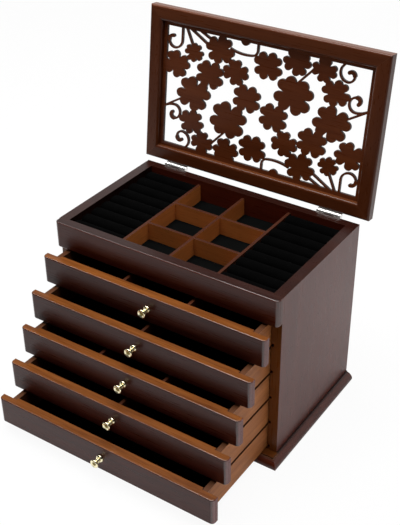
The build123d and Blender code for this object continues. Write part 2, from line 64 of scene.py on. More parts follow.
# A very dark tone: on the inward faces of the side panels, and as a painted shadow line on the base
# moulding.
ESPRESSO_DARK = ((0.008, 0.0018, 0.0010), (0.016, 0.0040, 0.0022))
ESPRESSO_CASE = ((0.054, 0.0070, 0.0022), (0.104, 0.0160, 0.0055))
ESPRESSO_SIDE = ((0.086, 0.0115, 0.0052), (0.120, 0.0185, 0.0082))
LID_STAIN = ((0.057, 0.0115, 0.0027), (0.106, 0.0265, 0.0070))
# Painted light: a paler tone on the up-facing faces of the lid rails, for the light from above.
LID_TOPS_PAINTED_LIGHT = ((0.075, 0.0185, 0.0050), (0.140, 0.0410, 0.0115))
FRET_STAIN = ((0.088, 0.0180, 0.0042), (0.158, 0.0390, 0.0105))
SAWN_EDGE = ((0.016, 0.0040, 0.0018), (0.034, 0.0095, 0.0040))
CARAMEL = ((0.085, 0.0210, 0.0026), (0.225, 0.0700, 0.0120))
CARAMEL_DARK = ((0.095, 0.0240, 0.0025), (0.165, 0.0480, 0.0070))
WALNUT = ((0.380, 0.1120, 0.0235), (0.600, 0.2050, 0.0500))
# Painted shade: a darker tone on the tops of the tray walnut and on its faces beside the ring rolls.
WALNUT_PAINTED_SHADE = ((0.034, 0.0080, 0.0030), (0.064, 0.0170, 0.0065))
TAN = ((0.290, 0.0900, 0.0240), (0.570, 0.2150, 0.0680))
# Brown for the insides of the drawers; on the tops of the drawer sides and backs it is painted shade.
BROWN = ((0.075, 0.0240, 0.0080), (0.130, 0.0460, 0.0160))
REDDISH = ((0.050, 0.0120, 0.0036), (0.095, 0.0245, 0.0078))
HARDBOARD = ((0.060, 0.0280, 0.0160), (0.110, 0.0560, 0.0340))
PAD_VELVET = ((0.0012, 0.0013, 0.0013), (0.0032, 0.0034, 0.0033))
# The ring rolls' velvet is darker than the pads': partly painted shade of the rolls on one another, partly
# their nap.
ROLL_VELVET = ((0.0002, 0.0002, 0.0002), (0.0011, 0.0011, 0.0011))
BRASS = ((0.700, 0.560, 0.260), (0.960, 0.880, 0.600))
BRASS_DISH = (0.170, 0.125, 0.035)
STEEL = ((0.480, 0.470, 0.450), (0.840, 0.830, 0.810))
PORE = (0.006, 0.0025, 0.0016)
# Paler tone of the arrises: worn by hands, and partly a painted highlight.
RUBBED_AND_HIGHLIT = (0.200, 0.120, 0.095)

# Kinds of socket
FLOAT = "NodeSocketFloat"
VECTOR = "NodeSocketVector"
GEOMETRY = "NodeSocketGeometry"


def middle_height(name):
    """Half-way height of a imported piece."""
    low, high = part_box(name)
    return (low.z + high.z) / 2


# Places that the stains, finishes and a painted shadow follow, in metres
DRAWER_COUNT = 5
LOWEST_KNOB = middle_height(f"drawer_{DRAWER_COUNT}_knob")
KNOB_PITCH = middle_height(f"drawer_{DRAWER_COUNT - 1}_knob") - LOWEST_KNOB
KNOB_DISH_RIM = (0.0030, 0.0020)
SIDE_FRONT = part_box("side_panel_right")[0].y
LEDGE_BLUR = 0.0005
BASE_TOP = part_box("base_board")[1].z
QUIRK_FOOT = BASE_TOP - 0.0020
QUIRK_FULL = BASE_TOP - 0.0009
OUTER_DIVIDERS = (0.03, 0.04)


# Node helpers
def add_node(tree, kind, settings=None, **inputs):
    """A node of one kind, with its settings, and values or links on its named inputs."""
    made = tree.nodes.new(kind)
    for name, value in (settings or {}).items():
        setattr(made, name, value)
    for name, value in inputs.items():
        join(tree, value, made.inputs[name.replace("_", " ")])
    return made


def join(tree, value, socket):
    """Link a socket to another, or set it to a plain value."""
    if isinstance(value, bpy.types.NodeSocket):
        tree.links.new(value, socket)
    else:
        socket.default_value = value


def maths(tree, operation, first, second=0.0):
    """One sum of two numbers or sockets."""
    made = add_node(tree, "ShaderNodeMath", {"operation": operation})
    join(tree, first, made.inputs[0])
    join(tree, second, made.inputs[1])
    return made.outputs[0]


def vectors(tree, operation, first, second=(0, 0, 0), output="Vector"):
    """One sum of two vectors or sockets."""
    made = add_node(tree, "ShaderNodeVectorMath", {"operation": operation})
    join(tree, first, made.inputs[0])
    join(tree, second, made.inputs[1])
    return made.outputs[output]


def split(tree, vector):
    """The X, Y and Z of a vector socket."""
    return add_node(tree, "ShaderNodeSeparateXYZ", None, Vector=vector).outputs


def ramp(tree, value, low, high, to_low=0.0, to_high=1.0):
    """A value spread from one range to another, and held at its ends."""
    limits = {"From_Min": low, "From_Max": high, "To_Min": to_low, "To_Max": to_high}
    return add_node(tree, "ShaderNodeMapRange", None, Value=value, **limits).outputs["Result"]


def mix_colour(tree, share, first, second):
    """Two colours or colour sockets, mixed by a share."""
    made = add_node(tree, "ShaderNodeMix", {"data_type": "RGBA"})
    join(tree, share, made.inputs[0])
    for socket, value in ((made.inputs[6], first), (made.inputs[7], second)):
        join(tree, value if isinstance(value, bpy.types.NodeSocket) else (*value, 1.0), socket)
    return made.outputs[2]


def cloud(tree, vector, scale, detail=2.0, roughness=0.5, distortion=0.0):
    """The grey value of a cloudy noise."""
    look = {"Scale": scale, "Detail": detail, "Roughness": roughness, "Distortion": distortion}
    return add_node(tree, "ShaderNodeTexNoise", None, Vector=vector, **look).outputs["Fac"]


def shader_group(name, inputs, outputs):
    """An empty shader group with its sockets; returns the tree, its inputs and its outputs."""
    tree = bpy.data.node_groups.new(name, "ShaderNodeTree")
    for socket, kind, value in inputs:
        made = tree.interface.new_socket(socket, in_out="INPUT", socket_type=kind)
        if value is not None:
            made.default_value = value
    for socket in outputs:
        tree.interface.new_socket(socket, in_out="OUTPUT", socket_type=FLOAT)
    return tree, tree.nodes.new("NodeGroupInput").outputs, tree.nodes.new("NodeGroupOutput").inputs


# Wood grain: scales along it as shares of those across it, limits of each noise, and shares in the mix
STREAK_STRETCH = 0.07
FIBRE_STRETCH = 0.035
PORE_STRETCH = 0.05
PORE_FINENESS = 1.9
STREAK_LIMITS = (0.32, 0.68)
FIBRE_LIMITS = (0.3, 0.7)
PORE_LIMITS = (0.62, 0.74)
STREAK_SHARE = 0.72
FIBRE_SHARE = 0.28
FIBRE_RELIEF = 0.4


def build_grain_group():
    """Wood grain that runs along X: broad streaks and fine fibres in its tone, and open pores."""
    tree, given, out = shader_group(
        "wood_grain",
        (
            ("Vector", VECTOR, None),
            ("Streaks", FLOAT, 60.0),
            ("Fibres", FLOAT, 900.0),
            ("Pores", FLOAT, 0.5),
        ),
        ("Tone", "Fibre", "Pore", "Height"),
    )

    def stretched(across, along_share):
        scale = add_node(tree, "ShaderNodeCombineXYZ", None, Y=across, Z=across)
        join(tree, maths(tree, "MULTIPLY", across, along_share), scale.inputs["X"])
        return vectors(tree, "MULTIPLY", given["Vector"], scale.outputs[0])

    streak = cloud(tree, stretched(given["Streaks"], STREAK_STRETCH), 1.0, 5.0, 0.6, 0.4)
    streak = ramp(tree, streak, *STREAK_LIMITS)
    fibre = cloud(tree, stretched(given["Fibres"], FIBRE_STRETCH), 1.0, 3.0, 0.55)
    fibre = ramp(tree, fibre, *FIBRE_LIMITS)
    fine = maths(tree, "MULTIPLY", given["Fibres"], PORE_FINENESS)
    slits = cloud(tree, stretched(fine, PORE_STRETCH), 1.0, 1.0)
    pore = maths(tree, "MULTIPLY", ramp(tree, slits, *PORE_LIMITS), given["Pores"])
    broad = maths(tree, "MULTIPLY", streak, STREAK_SHARE)
    join(tree, maths(tree, "ADD", broad, maths(tree, "MULTIPLY", fibre, FIBRE_SHARE)), out["Tone"])
    join(tree, fibre, out["Fibre"])
    join(tree, pore, out["Pore"])
    join(tree, maths(tree, "SUBTRACT", maths(tree, "MULTIPLY", fibre, FIBRE_RELIEF), pore), out["Height"])
    return tree


# Arrises: how far the worn and highlit tone reaches from them, how far a normal turns there, and how it
# breaks up
WEAR_AND_HIGHLIGHT_REACH = 0.0008
WORN_AND_HIGHLIT_TURN = (0.985, 0.85)
EASED_TURN = (0.985, 0.93)
EDGE_BREAKUP_SCALE = 70.0
EDGE_BREAKUP_LIMITS = (0.35, 0.65)
LEAST_EDGE_SHARE = 0.25


def build_wear_and_highlight_group():
    """A mask of the arrises, worn by hands and partly painted as a highlight, broken up along their length.
    """
    tree, given, out = shader_group(
        "rubbed_and_highlit_edges", (("Vector", VECTOR, None), ("Reach", FLOAT, WEAR_AND_HIGHLIGHT_REACH)), ("Mask",)
    )
    eased = add_node(tree, "ShaderNodeBevel", {"samples": 4}, Radius=given["Reach"])
    flat = add_node(tree, "ShaderNodeNewGeometry")
    turn = vectors(tree, "DOT_PRODUCT", eased.outputs["Normal"], flat.outputs["Normal"], "Value")
    breakup = ramp(tree, cloud(tree, given["Vector"], EDGE_BREAKUP_SCALE, 3.0, 0.6), *EDGE_BREAKUP_LIMITS, LEAST_EDGE_SHARE, 1.0)
    join(tree, maths(tree, "MULTIPLY", ramp(tree, turn, *WORN_AND_HIGHLIT_TURN), breakup), out["Mask"])
    return tree


def build_eased_group():
    """A mask of the rounded arrises, whose normals lie along no axis."""
    tree, given, out = shader_group(
        "eased_edges", (("Normal", VECTOR, None), ("Polish", FLOAT, 1.0)), ("Mask",)
    )
    way = split(tree, vectors(tree, "ABSOLUTE", given["Normal"]))
    most = maths(tree, "MAXIMUM", way["X"], maths(tree, "MAXIMUM", way["Y"], way["Z"]))
    join(tree, maths(tree, "MULTIPLY", ramp(tree, most, *EASED_TURN), given["Polish"]), out["Mask"])
    return tree


grain_group = build_grain_group()
wear_and_highlight_group = build_wear_and_highlight_group()
eased_group = build_eased_group()

# Turns that lay the grain along X, Y or Z
GRAIN_TURNS = {
    "x": (0.0, 0.0, 0.0),
    "y": (0.0, 0.0, math.radians(90)),
    "z": (0.0, math.radians(90), 0.0),
}

# Surface of the wood: tint of its pores, spread of roughness, strength and depth of relief, edge polish
PORE_TINT = 0.6
SMOOTHER = 0.04
ROUGHER = 0.05
GRAIN_RELIEF = (0.12, 0.0002)
EDGE_GLOSS = 0.10


def start_material(name, colour):
    """A material with only its Principled shader; returns the material, the tree and the shader."""
    made = bpy.data.materials.new(name)
    made.use_nodes = True
    made.diffuse_color = (*colour, 1.0)
    return made, made.node_tree, made.node_tree.nodes["Principled BSDF"]


def add_bump(tree, shader, height, strength, distance):
    """Relief from a height, on the shader's normal."""
    relief = add_node(tree, "ShaderNodeBump", None, Strength=strength, Distance=distance, Height=height)
    join(tree, relief.outputs[0], shader.inputs["Normal"])


def wood(
    name,
    stain,
    grain,
    stains_and_painted_light=(),
    streaks=45.0,
    pores=0.35,
    rough=0.3,
    specular=0.5,
    wear_and_highlight=0.25,
    polish=0.0,
):
    """A stained wood; each second tone has its colours and a mask of the faces that take it; some are
    stains, some painted light and shade.
    """
    made, tree, shader = start_material(name, stain[1])
    place = add_node(tree, "ShaderNodeTexCoord")
    spot = place.outputs["Object"]
    laid = add_node(tree, "ShaderNodeMapping", None, Vector=spot, Rotation=GRAIN_TURNS[grain])
    figure = add_node(tree, "ShaderNodeGroup", {"node_tree": grain_group})
    join(tree, laid.outputs[0], figure.inputs["Vector"])
    figure.inputs["Streaks"].default_value = streaks
    figure.inputs["Pores"].default_value = pores
    colour = mix_colour(tree, figure.outputs["Tone"], *stain)
    for second, mask in stains_and_painted_light:
        other = mix_colour(tree, figure.outputs["Tone"], *second)
        colour = mix_colour(tree, mask(tree, place), colour, other)
    colour = mix_colour(tree, maths(tree, "MULTIPLY", figure.outputs["Pore"], PORE_TINT), colour, PORE)
    worn_and_highlit = add_node(tree, "ShaderNodeGroup", {"node_tree": wear_and_highlight_group})
    join(tree, spot, worn_and_highlit.inputs["Vector"])
    colour = mix_colour(tree, maths(tree, "MULTIPLY", worn_and_highlit.outputs["Mask"], wear_and_highlight), colour, RUBBED_AND_HIGHLIT)
    join(tree, colour, shader.inputs["Base Color"])
    roughness = ramp(tree, figure.outputs["Fibre"], 0.0, 1.0, rough - SMOOTHER, rough + ROUGHER)
    join(tree, roughness, shader.inputs["Roughness"])
    add_bump(tree, shader, figure.outputs["Height"], *GRAIN_RELIEF)
    shader.inputs["Specular IOR Level"].default_value = specular
    if polish:
        eased = add_node(tree, "ShaderNodeGroup", {"node_tree": eased_group})
        join(tree, place.outputs["Normal"], eased.inputs["Normal"])
        eased.inputs["Polish"].default_value = polish
        join(tree, eased.outputs["Mask"], shader.inputs["Coat Weight"])
        shader.inputs["Coat Roughness"].default_value = EDGE_GLOSS
    return made


# Masks of the faces that take a second tone (stains, and painted light and shade); each pair is where a
# mask starts and where it is full
TURNED_TO = (0.5, 0.8)
TURNED_UP = (0.75, 0.95)
TURNED_FLAT = (0.9, 0.98)
TURNED_ASIDE = (0.4, 0.7)
TURNED_FORWARD = (-0.7, -0.85)


def facing(axis, sign, limits=TURNED_TO):
    """Faces whose own normal lies along one axis, forwards or backwards."""
    start, full = limits

    def mask(tree, place):
        return ramp(tree, split(tree, place.outputs["Normal"])[axis], sign * start, sign * full)

    return mask


def sawn_edges(tree, place):
    """Edges of the fret, which face neither the front nor the back of the panel."""
    depth = maths(tree, "ABSOLUTE", split(tree, place.outputs["Normal"])["Y"])
    return ramp(tree, depth, *reversed(TURNED_ASIDE))


def outward(tree, place):
    """How far a face looks away from the middle, to the left or to the right."""
    side = maths(tree, "SIGN", split(tree, place.outputs["Object"])["X"])
    return maths(tree, "MULTIPLY", split(tree, place.outputs["Normal"])["X"], side)


def looking_inwards(tree, place):
    """Faces that look towards the middle from the left or the right."""
    start, full = TURNED_ASIDE
    return ramp(tree, outward(tree, place), -start, -full)


def beside_ring_rolls(tree, place):
    """Faces of the outer tray dividers that look towards the ring rolls."""
    far = ramp(tree, maths(tree, "ABSOLUTE", split(tree, place.outputs["Object"])["X"]), *OUTER_DIVIDERS)
    return maths(tree, "MULTIPLY", ramp(tree, outward(tree, place), *TURNED_ASIDE), far)


def base_front_ledge(tree, place):
    """Top of the base board in front of the sides."""
    level = ramp(tree, split(tree, place.outputs["Normal"])["Z"], *TURNED_FLAT)
    depth = split(tree, place.outputs["Object"])["Y"]
    before = ramp(tree, depth, SIDE_FRONT + LEDGE_BLUR, SIDE_FRONT - LEDGE_BLUR)
    return maths(tree, "MULTIPLY", level, before)


def base_quirk_painted_shadow(tree, place):
    """Top of the moulding on the base board under the sides, taken by a painted shadow line."""
    return ramp(tree, split(tree, place.outputs["Object"])["Z"], QUIRK_FOOT, QUIRK_FULL)


def knob_dishes(tree, place):
    """The dished ends of the knobs, which stand one above the other on the middle line."""
    spot = split(tree, place.outputs["Object"])
    rise = maths(tree, "PINGPONG", maths(tree, "SUBTRACT", spot["Z"], LOWEST_KNOB), KNOB_PITCH / 2)
    flat = add_node(tree, "ShaderNodeCombineXYZ", None, X=spot["X"], Z=rise)
    reach = vectors(tree, "LENGTH", flat.outputs[0], output="Value")
    front = ramp(tree, split(tree, place.outputs["Normal"])["Y"], *TURNED_FORWARD)
    return maths(tree, "MULTIPLY", ramp(tree, reach, *KNOB_DISH_RIM), front)


# Velvet: scales of its nap and of its brushed patches, and how it takes the light
NAP_SCALE = 2600.0
BRUSHED_SCALE = 55.0
BRUSHED_LIMITS = (0.3, 0.7)
BRUSHED_SPREAD = (0.6, 1.4)
NAP_LIMITS = (0.2, 0.8)
NAP_ROUGHNESS = (0.82, 1.0)
NAP_RELIEF = (0.35, 0.0003)
NAP_SPECULAR = 0.02
SHEEN_ROUGHNESS = 0.4


def velvet(name, nap_colours, sheen):
    """Black velvet: a short nap with brushed patches."""
    made, tree, shader = start_material(name, nap_colours[1])
    spot = add_node(tree, "ShaderNodeTexCoord").outputs["Object"]
    nap = cloud(tree, spot, NAP_SCALE, 2.0, 0.6)
    brushed = ramp(tree, cloud(tree, spot, BRUSHED_SCALE, 3.0), *BRUSHED_LIMITS, *BRUSHED_SPREAD)
    colour = mix_colour(tree, maths(tree, "MULTIPLY", nap, brushed), *nap_colours)
    join(tree, colour, shader.inputs["Base Color"])
    join(tree, ramp(tree, nap, *NAP_LIMITS, *NAP_ROUGHNESS), shader.inputs["Roughness"])
    add_bump(tree, shader, nap, *NAP_RELIEF)
    shader.inputs["Specular IOR Level"].default_value = NAP_SPECULAR
    shader.inputs["Sheen Weight"].default_value = sheen
    shader.inputs["Sheen Roughness"].default_value = SHEEN_ROUGHNESS
    return made


# Plated metal: scales of its dull patches and of its scratches, and how the patches change it
PATCH_SCALE = 260.0
PATCH_TONE_LIMITS = (0.5, 0.75)
PATCH_TONE = (1.0, 0.4)
PATCH_ROUGH_LIMITS = (0.3, 0.7)
PATCH_ROUGHER = 0.1
SCRATCH_SCALE = 3000.0
SCRATCH_RELIEF = (0.04, 0.0001)


def metal(name, colours, rough, second=None):
    """Plated metal: a bright coat with dull cloudy patches and fine scratches, and maybe a second tone."""
    made, tree, shader = start_material(name, colours[1])
    place = add_node(tree, "ShaderNodeTexCoord")
    patches = cloud(tree, place.outputs["Object"], PATCH_SCALE, 4.0, 0.6)
    colour = mix_colour(tree, ramp(tree, patches, *PATCH_TONE_LIMITS, *PATCH_TONE), *colours)
    if second:
        tone, mask = second
        colour = mix_colour(tree, mask(tree, place), colour, tone)
    join(tree, colour, shader.inputs["Base Color"])
    roughness = ramp(tree, patches, *PATCH_ROUGH_LIMITS, rough, rough + PATCH_ROUGHER)
    join(tree, roughness, shader.inputs["Roughness"])
    add_bump(tree, shader, cloud(tree, place.outputs["Object"], SCRATCH_SCALE), *SCRATCH_RELIEF)
    shader.inputs["Metallic"].default_value = 1.0
    return made


# Finishes
up = facing("Z", 1, TURNED_UP)
# Painted shade: the tops of the case darker than its sides.
case_painted_shade = ((ESPRESSO_TOPS_PAINTED_SHADE, up),)
tray_wood = {"pores": 0.5, "rough": 0.45, "specular": 0.12, "wear_and_highlight": 0.08}
finishes = {
    "case_x": wood("espresso_along_x", ESPRESSO_CASE, "x", case_painted_shade, specular=0.30, polish=1.0),
    "side_panel": wood(
        "espresso_side_panel",
        ESPRESSO_SIDE,
        "z",
        case_painted_shade + ((ESPRESSO_DARK, looking_inwards), (CARAMEL_DARK, facing("Y", -1))),
        specular=0.28,
        polish=1.0,
    ),
    "base": wood(
        "espresso_base",
        ESPRESSO_CASE,
        "x",
        # Painted shadow: the dark line at the top of the base moulding, under the sides.
        ((ESPRESSO_DARK, base_quirk_painted_shadow), (CARAMEL_DARK, base_front_ledge)),
        specular=0.48,
    ),
    "drawer_front": wood(
        "espresso_drawer_front",
        ESPRESSO,
        "x",
        # The paler right ends are painted sheen; the caramel tops are the wood's own colour.
        ((ESPRESSO_END_PAINTED_SHEEN, facing("X", 1)), (CARAMEL, up), (BROWN, facing("Y", 1))),
        streaks=150.0,
        specular=0.28,
        polish=1.0,
    ),
    # The paler tops of the lid rails are painted light.
    "lid_rail": wood("lid_along_x", LID_STAIN, "x", ((LID_TOPS_PAINTED_LIGHT, up),), specular=0.25),
    "lid_stile": wood("lid_along_z", LID_STAIN, "z", specular=0.25),
    "fret": wood("lid_fret", FRET_STAIN, "x", ((SAWN_EDGE, sawn_edges),), specular=0.22, wear_and_highlight=0.1),
    # The darker tops of the tray walnut, and its faces beside the ring rolls, are painted shade.
    "tray_x": wood("walnut_along_x", WALNUT, "x", ((WALNUT_PAINTED_SHADE, up),), **tray_wood),
    "tray_y": wood(
        "walnut_along_y", WALNUT, "y", ((WALNUT_PAINTED_SHADE, up), (WALNUT_PAINTED_SHADE, beside_ring_rolls)), **tray_wood
    ),
    "drawer_sides": wood(
        "tan_drawer_sides",
        TAN,
        "y",
        # The darker brown on the tops is painted shade.
        ((BROWN, up), (BROWN, looking_inwards)),
        streaks=110.0,
        rough=0.5,
        specular=0.2,
    ),
    "drawer_back": wood(
        "tan_drawer_back",
        TAN,
        "x",
        # The darker brown on the tops is painted shade.
        ((BROWN, up), (BROWN, facing("Y", -1))),
        pores=0.5,
        rough=0.5,
        specular=0.2,
    ),
    "drawer_divider": wood("reddish_divider", REDDISH, "y", pores=0.4, rough=0.45, specular=0.2, wear_and_highlight=0.05),
    "hardboard": wood(
        "hardboard", HARDBOARD, "x", streaks=300.0, pores=0.2, rough=0.6, specular=0.3, wear_and_highlight=0.0
    ),
    "pad": velvet("black_velvet", PAD_VELVET, sheen=0.0),
    "roll": velvet("ring_roll_velvet", ROLL_VELVET, sheen=0.014),
    "brass": metal("polished_brass", BRASS, rough=0.18, second=(BRASS_DISH, knob_dishes)),
    "steel": metal("plated_steel", STEEL, rough=0.34),
}

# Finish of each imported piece, by the start of its name
FINISH_STARTS = (
    ("side_panel", "side_panel"),
    ("base_board", "base"),
    ("tray_divider", "tray_y"),
    ("tray_cross", "tray_x"),
    ("tray_pads", "pad"),
    ("ring_rolls", "roll"),
    ("lid_rail", "lid_rail"),
    ("lid_stile", "lid_stile"),
    ("fret_panel", "fret"),
    ("hinge_", "steel"),
)
DRAWER_FINISHES = {
    "front": "drawer_front",
    "sides": "drawer_sides",
    "back": "drawer_back",
    "bottom": "hardboard",
    "dividers": "drawer_divider",
    "pads": "pad",
    "knob": "brass",
}


def finish_of(name):
    """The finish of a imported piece, by its name."""
    if name.startswith("drawer_"):
        return finishes[DRAWER_FINISHES[name.split("_")[2]]]
    for start, finish in FINISH_STARTS:
        if name.startswith(start):
            return finishes[finish]
    return finishes["case_x"]


for name, piece in nodes.items():
    piece.data.materials.clear()
    piece.data.materials.append(finish_of(name))


# Soft pieces
FILL_PRESSURE = 4.0
FILL_STEPS = 20


def loose_object(name, shape):
    """A plain mesh object from a bmesh, smooth all over, with its faces turned outwards."""
    mesh = bpy.data.meshes.new(name)
    bmesh.ops.recalc_face_normals(shape, faces=shape.faces)
    shape.to_mesh(mesh)
    shape.free()
    mesh.shade_smooth()
    made = bpy.data.objects.new(name, mesh)
    scene.collection.objects.link(made)
    return made


def fill_with_air(piece, held_below, cap):
    """Swell a soft piece as cloth under pressure, held at its foot; no point moves as far as the cap."""
    held = [v.index for v in piece.data.vertices if v.co.z < held_below]
    piece.vertex_groups.new(name="held").add(held, 1.0, "REPLACE")
    cloth = piece.modifiers.new("filling", "CLOTH")
    cloth.settings.vertex_group_mass = "held"
    cloth.settings.use_pressure = True
    cloth.settings.uniform_pressure_force = FILL_PRESSURE
    cloth.settings.effector_weights.gravity = 0.0
    cloth.collision_settings.use_collision = False
    cloth.point_cache.frame_end = FILL_STEPS
    for step in range(1, FILL_STEPS + 1):
        scene.frame_set(step)
    filled = piece.evaluated_get(bpy.context.evaluated_depsgraph_get())
    ends = [v.co.copy() for v in filled.data.vertices]
    piece.modifiers.remove(cloth)
    piece.vertex_groups.clear()
    scene.frame_set(1)
    for point, end in zip(piece.data.vertices, ends):
        move = end - point.co
        point.co += move * (cap / (cap + move.length))


def stretch_to(mesh, low, high):
    """Stretch a mesh to fill a box from corner to corner."""
    spots = [v.co for v in mesh.vertices]
    for axis in range(3):
        start = min(c[axis] for c in spots)
        share = (high[axis] - low[axis]) / (max(c[axis] for c in spots) - start)
        for spot in spots:
            spot[axis] = low[axis] + (spot[axis] - start) * share


def keep_inside(mesh, low, high):
    """Hold every point of a mesh inside a box."""
    for point in mesh.vertices:
        for axis in range(3):
            point.co[axis] = min(max(point.co[axis], low[axis]), high[axis])


def dress(piece, replaced, body):
    """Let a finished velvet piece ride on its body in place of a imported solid."""
    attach(piece, body)
    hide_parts(replaced)


# Velvet pads: cells and soft edges in metres, then the parts of a pad's height as shares of its box
PAD_CELL = 0.005
PAD_LEAST_CELLS = 3
PAD_EDGE = 0.0016
PAD_EDGE_STEPS = (0.0, 0.2, 0.55)
PAD_RIM = 0.3
PAD_SHOULDER = 0.45
PAD_CROWN = 0.1
PAD_RIPPLE = 0.06
PAD_RIPPLE_SCALE = 40
PAD_HELD = 1e-5
PAD_SWELL = 0.0006
SAME_POINT = 1e-6


def solid_boxes(name):
    """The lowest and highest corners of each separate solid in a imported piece."""
    shape = bmesh.new()
    shape.from_mesh(nodes[name].data)
    bmesh.ops.remove_doubles(shape, verts=shape.verts, dist=SAME_POINT)
    left = set(shape.verts)
    boxes = []
    while left:
        reached = [left.pop()]
        solid = list(reached)
        while reached:
            for edge in reached.pop().link_edges:
                for end in edge.verts:
                    if end in left:
                        left.discard(end)
                        reached.append(end)
                        solid.append(end)
        corners = [v.co for v in solid]
        low = Vector([min(c[k] for c in corners) for k in range(3)])
        high = Vector([max(c[k] for c in corners) for k in range(3)])
        boxes.append((low, high))
    shape.free()
    return boxes


def pad_steps(length):
    """Places along one side of a pad, close together at its soft edges."""
    inner = length - 2 * PAD_EDGE
    count = max(PAD_LEAST_CELLS, round(inner / PAD_CELL))
    near = [PAD_EDGE * step for step in PAD_EDGE_STEPS]
    middle = [PAD_EDGE + inner * k / count for k in range(count + 1)]
    far = [length - step for step in reversed(near)]
    return near + middle + far


def pad_height(x, y, low, size):
    """Height of a pad over its foot at one place: soft along its edges and slightly crowned."""
    inset = min(x, size.x - x, y, size.y - y)
    round_off = math.sqrt(1 - (1 - min(1.0, inset / PAD_EDGE)) ** 2)
    crown = math.sin(math.pi * x / size.x) * math.sin(math.pi * y / size.y)
    ripple = noise.noise(Vector((low.x + x, low.y + y, low.z)) * PAD_RIPPLE_SCALE) * PAD_RIPPLE
    return size.z * (PAD_RIM + round_off * (PAD_SHOULDER + PAD_CROWN * crown + ripple))


def add_pad(shape, low, high):
    """A thin pad in a box, flat below."""
    size = high - low
    across, along = pad_steps(size.x), pad_steps(size.y)
    top, bottom = [], []
    for x in across:
        top.append([])
        bottom.append([])
        for y in along:
            height = pad_height(x, y, low, size)
            top[-1].append(shape.verts.new((low.x + x, low.y + y, low.z + height)))
            bottom[-1].append(shape.verts.new((low.x + x, low.y + y, low.z)))
    last_x, last_y = len(across) - 1, len(along) - 1
    for i in range(last_x):
        for j in range(last_y):
            shape.faces.new((top[i][j], top[i + 1][j], top[i + 1][j + 1], top[i][j + 1]))
            shape.faces.new((bottom[i][j], bottom[i][j + 1], bottom[i + 1][j + 1], bottom[i + 1][j]))
    rim = [(i, 0) for i in range(last_x)]
    rim += [(last_x, j) for j in range(last_y)]
    rim += [(i, last_y) for i in range(last_x, 0, -1)]
    rim += [(0, j) for j in range(last_y, 0, -1)]
    for (i, j), (m, n) in zip(rim, rim[1:] + rim[:1]):
        shape.faces.new((bottom[i][j], bottom[m][n], top[m][n], top[i][j]))


def dress_pads(name, body):
    """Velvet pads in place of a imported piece's plain ones."""
    shape = bmesh.new()
    for low, high in solid_boxes(name):
        add_pad(shape, low, high)
    made = loose_object(f"velvet_{name}", shape)
    low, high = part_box(name)
    fill_with_air(made, low.z + PAD_HELD, PAD_SWELL)
    keep_inside(made.data, low, high)
    made.data.materials.append(finishes["pad"])
    dress(made, name, body)


dress_pads("tray_pads", "case")
for number in range(1, DRAWER_COUNT + 1):
    dress_pads(f"drawer_{number}_pads", f"drawer_{number}")


# Repeated pieces are laid out by geometry trees
def geometry_tree(name, inputs):
    """A geometry tree with named inputs; returns it, its inputs and its output."""
    tree = bpy.data.node_groups.new(name, "GeometryNodeTree")
    tree.interface.new_socket("Geometry", in_out="INPUT", socket_type=GEOMETRY)
    for socket, kind in inputs:
        tree.interface.new_socket(socket, in_out="INPUT", socket_type=kind)
    tree.interface.new_socket("Geometry", in_out="OUTPUT", socket_type=GEOMETRY)
    return tree, tree.nodes.new("NodeGroupInput").outputs, tree.nodes.new("NodeGroupOutput").inputs[0]


def laid_out(form, tree, name, values):
    """The plain mesh that a geometry tree makes from a form, which is used up."""
    modifier = form.modifiers.new(tree.name, "NODES")
    modifier.node_group = tree
    for item in tree.interface.items_tree:
        if item.name in values:
            modifier[item.identifier] = values[item.name]
    graph = bpy.context.evaluated_depsgraph_get()
    mesh = bpy.data.meshes.new_from_object(form.evaluated_get(graph), depsgraph=graph)
    mesh.name = name
    form.modifiers.remove(modifier)
    bpy.data.objects.remove(form)
    made = bpy.data.objects.new(name, mesh)
    scene.collection.objects.link(made)
    return made


# Ring rolls: counts, sizes in metres, and the shape of one roll's section
ROLL_COUNT = 9
ROLL_AROUND = 28
ROLL_ALONG = 30
ROLL_GAP = 0.0003
ROLL_FULLNESS = 0.0028
ROLL_UNEVENNESS = 0.0003
ROLL_SWELL_SCALE = 90.0
ROLL_HELD = 0.003
ROLL_SWELL = 0.0025
CROWN_POWER = 0.62
FOOT_POWER = 0.35
FULL_SECTION = 0.97

# Rounding of a roll's ends: distances from the end, and the share of the section there
ROLL_ENDS = ((0.0, 0.60), (0.0002, 0.86), (0.0008, 0.93), (0.0022, 0.96))
ROLL_END_LENGTH = 0.005


